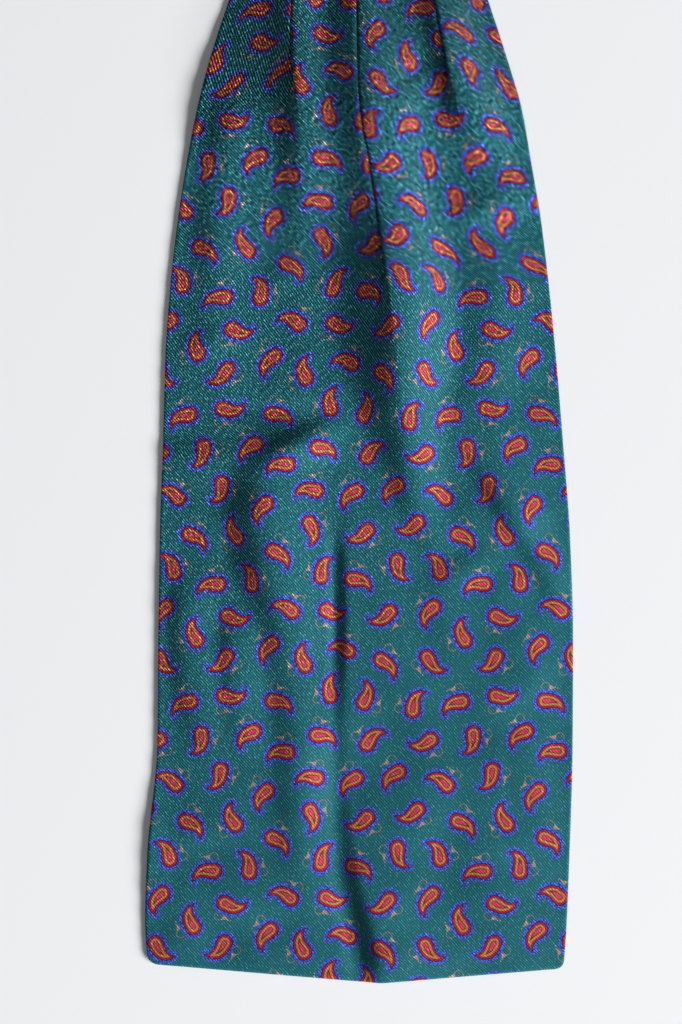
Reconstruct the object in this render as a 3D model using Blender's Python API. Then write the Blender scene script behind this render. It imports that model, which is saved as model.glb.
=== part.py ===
"""Silk day cravat laid out flat: two wide pleated blades sewn into the ends of a folded neckband.

Lengths in this file are millimetres, and MM turns them into Blender's metres.
+Y runs along the cravat, +X across it, +Z up from the surface that it lies on. The origin is at the
middle of the underside. The "shown" blade has its tip at -Y, and the "far" blade is the same cut
turned half round about Z, with pleats and ridges that lie a little differently.

A blade is worked out in its own frame: s is the distance up the blade from its tip, x is across it.
Each panel is a wall. Its middle line is a section across the blade, and the wall is that line moved
out by half the cloth on each side, lofted through the sections.
"""

import math
from collections import namedtuple

import bmesh
import bpy
import numpy as np
from mathutils import Matrix

MM = 0.001

# Cloth
WALL = 1.0
GAP = 0.3
LEVEL = WALL + GAP
BACK_LEVEL = 0.5 * WALL
FRONT_LEVEL = BACK_LEVEL + LEVEL

# Driving sizes
BLADE_LENGTH = 420.0
NECKBAND_LENGTH = 380.0
NECKBAND_WIDTH = 48.0
RETURN_WIDTH = 3.0
SEAM_OPENING = 0.45
MOUTH_EASE = 0.25

# Points along a section
TURN_POINTS = 4
ROLL_POINTS = 5
BACK_POINTS = 6

# How clear of a pleat's turns, and of a rolled edge, the cloth beside it changes its level.
TURN_ROOM = 1.6
EDGE_ROOM = 0.5

# The tip is a very shallow point: how far each lower corner is drawn up over the width on its side
# of the point, and where that dies out.
TIP_X = 8.4
TIP_RISE_LEFT = 7.4
TIP_RISE_RIGHT = 5.6
TIP_WIDTH_LEFT = 88.6
TIP_WIDTH_RIGHT = 69.8
TIP_FADE = 60.0

# A section of a blade: its place, the x of its two edges, and how far it is raised off the surface
# where it lies inside the neckband.
Station = namedtuple("Station", "s left right lift")
STATIONS = (
    Station(0.0, -80.2, 78.2, 0.0),
    Station(20.0, -80.8, 79.2, 0.0),
    Station(50.0, -79.9, 80.3, 0.0),
    Station(90.0, -76.2, 81.4, 0.0),
    Station(130.0, -75.8, 81.6, 0.0),
    Station(170.0, -75.2, 80.4, 0.0),
    Station(205.0, -74.0, 77.8, 0.0),
    Station(240.0, -73.0, 74.9, 0.0),
    Station(265.0, -71.2, 72.4, 0.0),
    Station(290.0, -68.4, 69.4, 0.0),
    Station(312.0, -65.0, 65.7, 0.0),
    Station(332.0, -61.2, 62.2, 0.0),
    Station(350.0, -56.6, 57.0, 0.0),
    Station(368.0, -50.9, 51.2, 0.0),
    Station(385.0, -44.8, 45.2, 0.0),
    Station(400.0, -37.6, 38.0, 0.0),
    Station(411.0, -29.0, 29.6, 0.9),
    Station(418.5, -20.9, 20.9, 1.3),
    Station(428.0, -20.9, 20.9, 1.3),
)

# A pleat: the layer named by "over" lies on top. Each row is a place along the blade, with the x of
# the visible fold edge, how far the layers lie over each other (below zero the pleat has opened into
# a slope that wide), and how far its upper layer stands over its lower one.
Fold = namedtuple("Fold", "s x overlap rise")
Pleat = namedtuple("Pleat", "over folds")

PLEATS_SHOWN = (
    Pleat("right", (
        Fold(428.0, -11.4, 4.0, 2.6),
        Fold(374.0, -24.0, 7.0, 2.6),
        Fold(357.0, -24.0, 4.0, 2.6),
        Fold(342.0, -23.0, 0.0, 2.6),
        Fold(322.0, -22.0, -8.0, 2.2),
        Fold(295.0, -21.0, -14.0, 1.2),
        Fold(265.0, -20.0, -18.0, 0.5),
        Fold(0.0, -20.0, -20.0, 0.1),
    )),
    Pleat("right", (
        Fold(428.0, 0.6, 4.0, 2.6),
        Fold(374.0, 0.8, 7.0, 2.6),
        Fold(333.0, 1.2, 6.0, 2.6),
        Fold(309.0, 5.8, 4.5, 2.6),
        Fold(287.0, 9.3, 2.5, 2.6),
        Fold(270.0, 12.2, 0.0, 2.6),
        Fold(250.0, 15.0, -8.0, 2.3),
        Fold(220.0, 17.0, -16.0, 1.6),
        Fold(190.0, 18.0, -18.0, 0.7),
        Fold(150.0, 18.0, -18.0, 0.2),
        Fold(0.0, 18.0, -18.0, 0.1),
    )),
    Pleat("right", (
        Fold(428.0, 12.2, 2.0, 2.6),
        Fold(405.0, 18.4, 4.0, 2.6),
        Fold(374.0, 27.8, 7.0, 2.6),
        Fold(358.0, 30.6, 4.0, 2.6),
        Fold(346.0, 33.0, 0.0, 2.6),
        Fold(330.0, 38.0, -8.0, 2.0),
        Fold(305.0, 46.0, -12.0, 1.0),
        Fold(270.0, 52.0, -14.0, 0.4),
        Fold(0.0, 54.0, -16.0, 0.1),
    )),
)

PLEATS_FAR = (
    Pleat("right", (
        Fold(428.0, -11.6, 4.0, 2.6),
        Fold(374.0, -23.8, 7.0, 2.6),
        Fold(340.0, -25.6, 5.0, 2.6),
        Fold(312.0, -25.0, 0.0, 2.6),
        Fold(280.0, -23.0, -16.0, 2.4),
        Fold(200.0, -20.0, -28.0, 1.2),
        Fold(0.0, -18.0, -30.0, 0.1),
    )),
    Pleat("left", (
        Fold(428.0, 0.4, 4.0, 2.6),
        Fold(374.0, 1.6, 7.0, 2.6),
        Fold(340.0, 3.0, 3.0, 2.6),
        Fold(324.0, 4.0, 0.0, 2.6),
        Fold(290.0, 8.0, -16.0, 2.4),
        Fold(200.0, 12.0, -22.0, 1.2),
        Fold(0.0, 14.0, -22.0, 0.1),
    )),
    Pleat("right", (
        Fold(428.0, 12.0, 2.0, 2.6),
        Fold(405.0, 18.2, 4.0, 2.6),
        Fold(374.0, 26.8, 7.0, 2.6),
        Fold(336.0, 32.6, 5.0, 2.6),
        Fold(310.0, 36.0, 0.0, 2.6),
        Fold(270.0, 44.0, -14.0, 2.0),
        Fold(180.0, 56.0, -18.0, 0.8),
        Fold(0.0, 59.0, -18.0, 0.1),
    )),
)

# A ridge: the largest soft folds of the loose cloth. It runs from (s_low, x_low) up the blade to
# (s_high, x_high), falls away over "left" and "right", and dies out over "fade" at both ends.
Ridge = namedtuple("Ridge", "s_low x_low s_high x_high left right height fade")

RIDGES_SHOWN = (
    Ridge(180.0, 23.0, 330.0, 13.0, 24.0, 26.0, 6.4, 50.0),
    Ridge(40.0, -20.0, 205.0, -36.0, 14.0, 24.0, 3.4, 40.0),
    Ridge(0.0, 8.0, 60.0, 2.0, 12.0, 36.0, 2.4, 40.0),
    Ridge(140.0, 78.0, 200.0, 46.0, 9.0, 15.0, 2.2, 24.0),
    Ridge(90.0, -60.0, 150.0, -65.0, 9.0, 14.0, 1.6, 40.0),
)

RIDGES_FAR = (
    Ridge(140.0, 14.0, 372.0, -2.0, 26.0, 24.0, 3.2, 70.0),
    Ridge(15.0, 30.0, 215.0, 36.0, 20.0, 18.0, 2.2, 60.0),
    Ridge(30.0, -30.0, 180.0, -18.0, 16.0, 24.0, 1.8, 60.0),
    Ridge(120.0, -58.0, 240.0, -46.0, 14.0, 16.0, 1.6, 50.0),
)

# The side edges are rolled, not pressed, so the cloth stands a little higher along them.
EDGE_LOFT = 0.3
EDGE_LOFT_WIDTH = 14.0
RELIEF_FADE_TIP = 14.0
RELIEF_FADE_NECK = (392.0, 412.0)
OPEN_ROUNDING = 0.5

# Neckband: height of the upper layer at distances from its middle.
BandStation = namedtuple("BandStation", "y top")
BAND_TOP = FRONT_LEVEL + 4.0 * LEVEL + MOUTH_EASE
BAND_STATIONS = (
    BandStation(0.0, FRONT_LEVEL),
    BandStation(50.0, FRONT_LEVEL),
    BandStation(100.0, FRONT_LEVEL),
    BandStation(132.0, FRONT_LEVEL + 0.4),
    BandStation(150.0, FRONT_LEVEL + 1.8),
    BandStation(166.0, BAND_TOP - 0.9),
    BandStation(180.0, BAND_TOP),
    BandStation(190.0, BAND_TOP),
)
BAND_TOP_POINTS = 5

PRINTED_SILK = (0.021, 0.114, 0.122, 1.0)
PLAIN_SILK = (0.019, 0.100, 0.108, 1.0)
SILK_ROUGHNESS = 0.45


def clear_scene():
    """Remove whatever the scene holds."""
    for thing in list(bpy.data.objects):
        bpy.data.objects.remove(thing, do_unlink=True)


def fade_in(value, start, end):
    """A smooth step from 0 at start to 1 at end."""
    t = min(1.0, max(0.0, (value - start) / (end - start)))
    return t * t * (3.0 - 2.0 * t)


def bell(distance, reach):
    """A soft bump: 1 at no distance, 0 at reach."""
    if abs(distance) >= reach:
        return 0.0
    return 0.5 + 0.5 * math.cos(math.pi * distance / reach)


def column(rows, name, s):
    """A table's column read at s, straight between its rows."""
    ordered = sorted(rows, key=lambda row: row.s)
    places = [row.s for row in ordered]
    return float(np.interp(s, places, [getattr(row, name) for row in ordered]))


def tip_line(s, x):
    """How far up the blade a section's point lies: straight across, and drawn to a point at the tip."""
    side = TIP_RISE_LEFT / TIP_WIDTH_LEFT if x < TIP_X else TIP_RISE_RIGHT / TIP_WIDTH_RIGHT
    return s + side * abs(x - TIP_X) * max(0.0, 1.0 - s / TIP_FADE)


def ridge_height(ridge, s, x):
    """What one ridge adds to the cloth's height."""
    along = (s - ridge.s_low) / (ridge.s_high - ridge.s_low)
    middle = ridge.x_low + (ridge.x_high - ridge.x_low) * along
    reach = ridge.left if x < middle else ridge.right
    ends = fade_in(s, ridge.s_low - ridge.fade, ridge.s_low + ridge.fade)
    ends *= 1.0 - fade_in(s, ridge.s_high - ridge.fade, ridge.s_high + ridge.fade)
    return ridge.height * ends * bell(x - middle, reach)


def relief(ridges, station, x):
    """The height of the loose cloth over its pressed level."""
    edges = bell(x - station.left, EDGE_LOFT_WIDTH) + bell(station.right - x, EDGE_LOFT_WIDTH)
    height = EDGE_LOFT * edges
    height += sum(ridge_height(ridge, station.s, x) for ridge in ridges)
    height *= fade_in(station.s, 0.0, RELIEF_FADE_TIP)
    return height * (1.0 - fade_in(station.s, *RELIEF_FADE_NECK))


def knife_fold(overlap, rise):
    """A fold from a lower layer on the left to an upper one on the right, its upper turn at x = 0.

    Two round turns and the straight run between them. With overlap above zero the run goes back
    under the upper layer; below zero the fold is open and the run is a slope.
    """
    advance = -overlap
    radius = rise / 4.0
    if advance > 0.0:
        radius += OPEN_ROUNDING * advance ** 2 / (4.0 * rise)
    spread = math.hypot(advance, rise - 2.0 * radius)
    turn = math.atan2(rise - 2.0 * radius, advance) + math.asin(min(1.0, 2.0 * radius / spread))
    shares = [k / (TURN_POINTS - 1) for k in range(TURN_POINTS)]
    lower = [
        (-advance + radius * math.sin(turn * k), radius - radius * math.cos(turn * k))
        for k in shares
    ]
    upper = [
        (-radius * math.sin(turn * k), rise - radius + radius * math.cos(turn * k))
        for k in reversed(shares)
    ]
    return lower + upper


def pleat_path(pleat, s):
    """One pleat's points from left to right, and the x on each side where the cloth is clear of it."""
    x = column(pleat.folds, "x", s)
    overlap = column(pleat.folds, "overlap", s)
    fold = knife_fold(overlap, column(pleat.folds, "rise", s))
    hidden = max(overlap, 0.0) + TURN_ROOM
    if pleat.over == "right":
        points = [(x + dx, dz) for dx, dz in fold]
        return points, min(x, points[0][0]) - TURN_ROOM, x + hidden
    points = [(x - dx, dz) for dx, dz in reversed(fold)]
    return points, x - hidden, max(x, points[-1][0]) + TURN_ROOM


def edge_roll(x, low, high, side):
    """The half round of a rolled edge from the return up to the top; side is -1 left, +1 right."""
    radius = 0.5 * (high - low)
    points = []
    for k in range(ROLL_POINTS):
        angle = math.pi * k / (ROLL_POINTS - 1)
        points.append((x - side * radius + side * radius * math.sin(angle),
                       low + radius - radius * math.cos(angle)))
    return [(x - side * (radius + RETURN_WIDTH), low)] + points


def slope(start, end):
    """Two points of the cloth between pleats, where it changes its level, and one halfway."""
    return [start, (0.5 * (start[0] + end[0]), 0.5 * (start[1] + end[1])), end]


def front_path(pleats, ridges, station):
    """The middle line of a front panel's wall at one station, from its left return to its right."""
    low = BACK_LEVEL + station.lift
    level = FRONT_LEVEL + station.lift
    inset = 0.5 * WALL
    height = level + relief(ridges, station, station.left)
    left = edge_roll(station.left + inset, low, height, -1)
    height = level + relief(ridges, station, station.right)
    right = edge_roll(station.right - inset, low, height, 1)
    top = []
    behind = (left[-1][0] + EDGE_ROOM, 0.0)
    for pleat in pleats:
        fold, before, after = pleat_path(pleat, station.s)
        top += slope(behind, (before, fold[0][1])) + fold
        behind = (after, fold[-1][1])
    top += slope(behind, (right[-1][0] - EDGE_ROOM, 0.0))
    return left + [(x, level + z + relief(ridges, station, x)) for x, z in top] + right[::-1]


def back_path(pleats, ridges, station):
    """The middle line of a back panel: flat on the surface, between the front panel's returns."""
    front = front_path(pleats, ridges, station)
    start = front[0][0] + SEAM_OPENING
    end = front[-1][0] - SEAM_OPENING
    level = BACK_LEVEL + station.lift
    return [
        (start + (end - start) * k / (BACK_POINTS - 1), level) for k in range(BACK_POINTS)
    ]


def band_path(band):
    """The middle line of the neckband: a strip folded to a flat tube, its edges meeting below."""
    half = 0.5 * (NECKBAND_WIDTH - WALL)
    left = edge_roll(-half, BACK_LEVEL, band.top, -1)
    right = edge_roll(half, BACK_LEVEL, band.top, 1)
    start = left[-1][0]
    end = right[-1][0]
    top = [
        (start + (end - start) * (k + 1) / (BAND_TOP_POINTS + 1), band.top)
        for k in range(BAND_TOP_POINTS)
    ]
    left[0] = (-0.5 * GAP, BACK_LEVEL)
    right[0] = (0.5 * GAP, BACK_LEVEL)
    return left + top + right[::-1]


def wall_sides(path):
    """The two faces of the wall: the path moved half the cloth to each side, mitred at its turns."""
    points = np.array(path)
    runs = np.diff(points, axis=0)
    runs /= np.linalg.norm(runs, axis=1)[:, None]
    normals = np.column_stack((-runs[:, 1], runs[:, 0]))
    before = np.vstack((normals[:1], normals))
    after = np.vstack((normals, normals[-1:]))
    middle = before + after
    middle /= np.linalg.norm(middle, axis=1)[:, None]
    mitre = np.sum(middle * after, axis=1)
    offset = 0.5 * WALL * middle / np.maximum(mitre, 0.5)[:, None]
    return points + offset, points - offset


def lofted_wall(name, rows):
    """A closed wall through rows of section paths, each with the function that places its points."""
    mesh = bmesh.new()
    rings = []
    for path, place in rows:
        rings.append([[mesh.verts.new(place(x, z)) for x, z in side] for side in wall_sides(path)])
    count = len(rings[0][0])
    for near, far in zip(rings, rings[1:]):
        for side in (0, 1):
            for k in range(count - 1):
                mesh.faces.new((near[side][k], near[side][k + 1], far[side][k + 1], far[side][k]))
        for k in (0, count - 1):
            mesh.faces.new((near[0][k], near[1][k], far[1][k], far[0][k]))
    for ring in (rings[0], rings[-1]):
        for k in range(count - 1):
            mesh.faces.new((ring[0][k], ring[0][k + 1], ring[1][k + 1], ring[1][k]))
    bmesh.ops.recalc_face_normals(mesh, faces=mesh.faces)
    data = bpy.data.meshes.new(name)
    mesh.to_mesh(data)
    mesh.free()
    return data


def add_object(name, data, material):
    """An object of its own for one cut piece."""
    data.materials.append(material)
    data.shade_smooth()
    thing = bpy.data.objects.new(name, data)
    bpy.context.scene.collection.objects.link(thing)
    return thing


def silk(name, colour):
    """Woven silk with the colour of its ground."""
    material = bpy.data.materials.new(name)
    material.use_nodes = True
    shader = material.node_tree.nodes["Principled BSDF"]
    shader.inputs["Base Color"].default_value = colour
    shader.inputs["Roughness"].default_value = SILK_ROUGHNESS
    shader.inputs["Metallic"].default_value = 0.0
    return material


def blade_rows(path_of, pleats, ridges):
    """A blade panel's sections, in the frame with the neckband's middle at y = 0."""
    tip = BLADE_LENGTH + 0.5 * NECKBAND_LENGTH
    rows = []
    for station in STATIONS:
        def place(x, z, s=station.s):
            return (x * MM, (tip_line(s, x) - tip) * MM, z * MM)
        rows.append((path_of(pleats, ridges, station), place))
    return rows


def add_blade(suffix, pleats, ridges, turned):
    """The front and back panels of one blade, the far one turned half round."""
    turn = Matrix.Rotation(math.pi if turned else 0.0, 4, "Z")
    for side, path_of, colour in (
        ("front", front_path, PRINTED_SILK),
        ("back", back_path, PLAIN_SILK),
    ):
        name = f"blade_{side}_{suffix}"
        data = lofted_wall(name, blade_rows(path_of, pleats, ridges))
        data.transform(turn)
        add_object(name, data, silk(f"{name}_silk", colour))


def add_neckband():
    """The folded strip between the blades, swelling at each mouth over the pleated ends."""
    stations = [(-band.y, band) for band in reversed(BAND_STATIONS)]
    stations += [(band.y, band) for band in BAND_STATIONS[1:]]
    rows = []
    for y, band in stations:
        def place(x, z, y=y):
            return (x * MM, y * MM, z * MM)
        rows.append((band_path(band), place))
    add_object("neckband", lofted_wall("neckband", rows), silk("neckband_silk", PRINTED_SILK))


def main():
    clear_scene()
    add_blade("shown", PLEATS_SHOWN, RIDGES_SHOWN, turned=False)
    add_blade("far", PLEATS_FAR, RIDGES_FAR, turned=True)
    add_neckband()


main()
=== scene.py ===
"""The looks of a silk day cravat laid out flat, seen from straight above one of its blades.

Lengths are millimetres unless a name or a comment says otherwise, and MM turns them into metres.
The frame is the CAD model's: +Y along the cravat, +X across it, +Z up, the surface at Z = 0.
A blade is worked out in its own frame: s is the distance up the blade from its tip, x is across it.
"""

import math
from collections import namedtuple

import bpy
import numpy as np
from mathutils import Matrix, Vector


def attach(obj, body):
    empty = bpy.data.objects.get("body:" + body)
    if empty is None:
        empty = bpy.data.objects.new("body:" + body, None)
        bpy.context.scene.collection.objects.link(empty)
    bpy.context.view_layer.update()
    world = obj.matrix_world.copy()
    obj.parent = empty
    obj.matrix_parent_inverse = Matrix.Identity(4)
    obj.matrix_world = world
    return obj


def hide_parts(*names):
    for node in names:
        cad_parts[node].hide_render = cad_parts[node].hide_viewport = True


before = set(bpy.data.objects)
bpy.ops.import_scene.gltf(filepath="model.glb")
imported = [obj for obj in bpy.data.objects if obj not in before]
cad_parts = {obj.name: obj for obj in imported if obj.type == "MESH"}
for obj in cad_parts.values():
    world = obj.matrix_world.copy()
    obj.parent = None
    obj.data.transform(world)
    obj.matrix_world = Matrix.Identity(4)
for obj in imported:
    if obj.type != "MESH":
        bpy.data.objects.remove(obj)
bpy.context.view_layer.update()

MM = 0.001
SEED = 7

# ------------------------ sizes shared with the CAD model

BLADE_LENGTH = 420.0
NECKBAND_LENGTH = 380.0
NECKBAND_WIDTH = 48.0
TIP_Y = -(BLADE_LENGTH + 0.5 * NECKBAND_LENGTH)
FRONT_LEVEL = 1.8

TIP_X = 8.4
TIP_RISE_LEFT = 7.4
TIP_RISE_RIGHT = 5.6
TIP_WIDTH_LEFT = 88.6
TIP_WIDTH_RIGHT = 69.8
TIP_FADE = 60.0
CORNER_LEFT = 4.0
CORNER_RIGHT = 3.0

Station = namedtuple("Station", "s left right lift")
STATIONS = (
    Station(0, -80.2, 78.2, 0),
    Station(20, -80.8, 79.2, 0),
    Station(50, -79.9, 80.3, 0),
    Station(90, -76.2, 81.4, 0),
    Station(130, -75.8, 81.6, 0),
    Station(170, -75.2, 80.4, 0),
    Station(205, -74, 77.8, 0),
    Station(240, -73, 74.9, 0),
    Station(265, -71.2, 72.4, 0),
    Station(290, -68.4, 69.4, 0),
    Station(312, -65, 65.7, 0),
    Station(332, -61.2, 62.2, 0),
    Station(350, -56.6, 57, 0),
    Station(368, -50.9, 51.2, 0),
    Station(385, -44.8, 45.2, 0),
    Station(400, -37.6, 38, 0),
    Station(411, -29, 29.6, 0.9),
    Station(418.5, -20.9, 20.9, 1.3),
    Station(428, -20.9, 20.9, 1.3),
)

# A pleat: the layer named by "over" lies on top. Each row is a place along the blade, with the x of
# the visible fold edge, how far the layers lie over each other (below zero the pleat has opened into
# a slope that wide), how far its upper layer stands over its lower one, and the share of that which
# the lower layer keeps up to the edge, where it dives and leaves a dark line.
Fold = namedtuple("Fold", "s x overlap rise full")
Pleat = namedtuple("Pleat", "over folds")

PLEATS_SHOWN = (
    Pleat("right", (
        Fold(428, -11.4, 4, 2.6, 0.3),
        Fold(405, -16.9, 5.2, 2.6, 1),
        Fold(374, -24.2, 7, 2.6, 1),
        Fold(357, -24.4, 4, 2.6, 0.8),
        Fold(342, -23.4, 0, 2.6, 0.1),
        Fold(322, -22, -8, 2.2, 0),
        Fold(295, -21, -14, 1.2, 0),
        Fold(265, -20, -18, 0.5, 0),
        Fold(0, -20, -20, 0.1, 0),
    )),
    Pleat("right", (
        Fold(428, 0.6, 4, 2.6, 0.3),
        Fold(405, 0.6, 5.2, 2.6, 1),
        Fold(374, 0.5, 7, 2.6, 1),
        Fold(345, 0.9, 6.4, 2.6, 1),
        Fold(327, 2.1, 5.6, 2.6, 1),
        Fold(315, 4.2, 4.9, 2.6, 1),
        Fold(301, 6.6, 3.9, 2.6, 0.9),
        Fold(286, 8.9, 2.6, 2.6, 0.7),
        Fold(272, 10.6, 0.4, 2.6, 0.3),
        Fold(250, 13.4, -8, 2.3, 0),
        Fold(220, 16.4, -16, 1.6, 0),
        Fold(190, 18, -18, 0.7, 0),
        Fold(150, 18, -18, 0.2, 0),
        Fold(0, 18, -18, 0.1, 0),
    )),
    Pleat("right", (
        Fold(428, 12.2, 2, 2.6, 0.3),
        Fold(405, 18.8, 4, 2.6, 1),
        Fold(374, 29, 7, 2.6, 1),
        Fold(358, 32.2, 4, 2.6, 0.8),
        Fold(346, 34.4, 0, 2.6, 0.2),
        Fold(330, 38.6, -8, 2, 0),
        Fold(305, 46, -12, 1, 0),
        Fold(270, 52, -14, 0.4, 0),
        Fold(0, 54, -16, 0.1, 0),
    )),
)

PLEATS_FAR = (
    Pleat("right", (
        Fold(428, -11.6, 4, 2.6, 0.3),
        Fold(374, -23.8, 7, 2.6, 0.8),
        Fold(340, -25.6, 5, 2.6, 0.5),
        Fold(312, -25, 0, 2.6, 0),
        Fold(280, -23, -16, 2.4, 0),
        Fold(200, -20, -28, 1.2, 0),
        Fold(0, -18, -30, 0.1, 0),
    )),
    Pleat("left", (
        Fold(428, 0.4, 4, 2.6, 0.3),
        Fold(374, 1.6, 7, 2.6, 0.8),
        Fold(340, 3, 3, 2.6, 0.5),
        Fold(324, 4, 0, 2.6, 0),
        Fold(290, 8, -16, 2.4, 0),
        Fold(200, 12, -22, 1.2, 0),
        Fold(0, 14, -22, 0.1, 0),
    )),
    Pleat("right", (
        Fold(428, 12, 2, 2.6, 0.3),
        Fold(405, 18.2, 4, 2.6, 0.8),
        Fold(374, 26.8, 7, 2.6, 0.8),
        Fold(336, 32.6, 5, 2.6, 0.5),
        Fold(310, 36, 0, 2.6, 0),
        Fold(270, 44, -14, 2, 0),
        Fold(180, 56, -18, 0.8, 0),
        Fold(0, 59, -18, 0.1, 0),
    )),
)

# ------------------------ creases of the loose cloth

# A ridge follows its rows along the blade. It falls away over "left" and "right" of its crest; a
# height below zero makes it a groove.
Crest = namedtuple("Crest", "s x left right height")

RIDGES_SHOWN = (
    (   # the long crest beside the middle pleat
        Crest(368, 9, 12, 12, 0),
        Crest(351, 11.5, 16, 14, 2),
        Crest(336, 12.9, 20, 15, 4),
        Crest(317, 13.2, 22, 15, 5.6),
        Crest(298, 14.9, 24, 17, 7.2),
        Crest(279, 16, 27, 21, 8.8),
        Crest(260, 17, 29, 24, 9.8),
        Crest(241, 15.8, 25, 25, 9.4),
        Crest(222, 16.2, 20, 21, 7.8),
        Crest(210, 18, 17, 17, 6),
        Crest(199, 20, 14, 15, 4.4),
        Crest(184, 22.5, 11, 13, 2.6),
        Crest(172, 26, 10, 12, 1.3),
        Crest(160, 32, 9, 10, 0.4),
        Crest(150, 37, 8, 10, 0),
    ),
    (   # the rise towards the middle pleat
        Crest(420, 0.5, 9, 9, 1.6),
        Crest(374, 0.6, 13, 15, 3.2),
        Crest(333, 1.4, 14, 14, 3),
        Crest(309, 5, 15, 12, 2.2),
        Crest(280, 9, 16, 12, 1),
        Crest(252, 10, 16, 12, 0),
    ),
    (   # the rise towards the left pleat
        Crest(420, -12, 8, 7, 1.6),
        Crest(374, -23.9, 12, 12, 3.2),
        Crest(352, -23.7, 13, 12, 3.2),
        Crest(325, -21.5, 12, 11, 2.4),
        Crest(300, -21, 12, 12, 1.6),
        Crest(272, -22, 12, 12, 0),
    ),
    (   # the rise towards the right pleat, which runs out slanting
        Crest(420, 14, 7, 9, 1.4),
        Crest(374, 30.5, 9, 17, 2.8),
        Crest(352, 34, 10, 17, 3.2),
        Crest(338, 41, 12, 14, 3.2),
        Crest(322, 48, 15, 12, 2.6),
        Crest(306, 54, 16, 10, 1.2),
        Crest(290, 58, 14, 10, 0),
    ),
    (   # the bulge and ridge down the left of the lower half
        Crest(217, -9, 9, 10, 0),
        Crest(210, -16, 12, 14, 1.7),
        Crest(203, -26, 15, 20, 3.4),
        Crest(192, -34, 18, 26, 4.8),
        Crest(176, -36.5, 17, 28, 5.2),
        Crest(158, -34, 16, 26, 4.8),
        Crest(140, -28.5, 14, 20, 3.7),
        Crest(120, -24.5, 13, 16, 2.6),
        Crest(100, -23, 12, 15, 1.8),
        Crest(72, -22, 13, 14, 1.7),
        Crest(50, -20.5, 13, 13, 1.2),
        Crest(26, -17, 12, 12, 0.5),
        Crest(12, -16, 12, 12, 0),
    ),
    (   # the narrow crease beside it
        Crest(178, -10, 3.5, 3.5, 0),
        Crest(160, -9, 4, 4, -1.3),
        Crest(132, -8.2, 4.5, 4.5, -1.5),
        Crest(107, -9, 5, 5, -0.6),
        Crest(80, -8.5, 5, 5, -0.4),
        Crest(58, -7.5, 6, 6, -0.7),
        Crest(40, -6, 7, 7, -1.3),
        Crest(24, -2.5, 8, 8, -1.8),
        Crest(8, 0.5, 8, 9, -1.8),
        Crest(0, 1.5, 8, 9, -1.7),
    ),
    (   # the plateau to its right
        Crest(190, -1, 7, 20, 0),
        Crest(160, -3, 5, 28, 1),
        Crest(132, -3.5, 5, 30, 1.2),
        Crest(107, -4, 5, 32, 0.5),
        Crest(80, -3, 6, 34, 0.4),
        Crest(58, -1, 8, 36, 0.9),
        Crest(40, 2.5, 10, 36, 1.6),
        Crest(24, 7, 11, 38, 2.5),
        Crest(8, 10, 12, 38, 2.9),
        Crest(0, 11, 12, 36, 2.9),
    ),
    (   # the slanting fold towards the right edge
        Crest(204, 42, 7, 10, 0),
        Crest(194, 49, 9, 14, 1.8),
        Crest(178, 59, 9, 16, 2.7),
        Crest(162, 69, 9, 14, 2.4),
        Crest(146, 77, 9, 12, 0.8),
        Crest(138, 80, 8, 12, 0),
    ),
    (   # low swells towards the left edge
        Crest(160, -64, 9, 12, 0),
        Crest(138, -66, 9, 14, 1.9),
        Crest(112, -64, 9, 14, 1.6),
        Crest(84, -58, 9, 12, 0),
    ),
    (   # the same, nearer the middle
        Crest(150, -46, 8, 11, 0),
        Crest(128, -47, 9, 13, 1.6),
        Crest(106, -45, 9, 13, 1.2),
        Crest(80, -40, 8, 12, 0),
    ),
    (   # the fold down the upper left
        Crest(346, -46, 9, 10, 0),
        Crest(322, -50, 11, 13, 1.8),
        Crest(288, -54, 12, 15, 1.6),
        Crest(250, -54, 12, 15, 0.9),
        Crest(220, -50, 12, 14, 0),
    ),
)

RIDGES_FAR = (
    (   # the long crest
        Crest(372, 1, 10, 12, 0),
        Crest(340, 2.6, 14, 16, 2),
        Crest(300, 7, 20, 20, 3.8),
        Crest(262, 12, 24, 24, 4.6),
        Crest(222, 10, 20, 24, 3.6),
        Crest(186, 4, 16, 20, 2.2),
        Crest(150, -2, 14, 18, 0),
    ),
    (   # the ridge down the lower right
        Crest(236, 40, 12, 12, 0),
        Crest(205, 36, 18, 15, 2.4),
        Crest(160, 31, 20, 14, 2.6),
        Crest(110, 28, 17, 13, 2),
        Crest(60, 26, 15, 13, 1.5),
        Crest(14, 24, 13, 12, 0.2),
    ),
    (   # the narrow crease
        Crest(190, 9, 5, 5, 0),
        Crest(150, 10, 5, 5, -0.9),
        Crest(90, 7, 6, 5, -1),
        Crest(30, 3, 7, 7, -1.1),
        Crest(0, 1, 7, 8, -0.8),
    ),
    (   # the ridge down the lower left
        Crest(210, -32, 12, 14, 0),
        Crest(165, -30, 17, 17, 1.8),
        Crest(110, -24, 20, 18, 1.6),
        Crest(50, -20, 20, 18, 1.4),
        Crest(8, -18, 16, 14, 0.4),
    ),
    (   # the slanting fold towards the left edge
        Crest(286, -46, 10, 12, 0),
        Crest(250, -52, 12, 14, 1.4),
        Crest(206, -58, 12, 14, 1.2),
        Crest(166, -62, 10, 12, 0),
    ),
)

# A swell or hollow of its own: an oval with half-axes "along" and "across", turned by "angle"
# degrees from straight across the blade.
Swell = namedtuple("Swell", "s x along across angle height")

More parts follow.
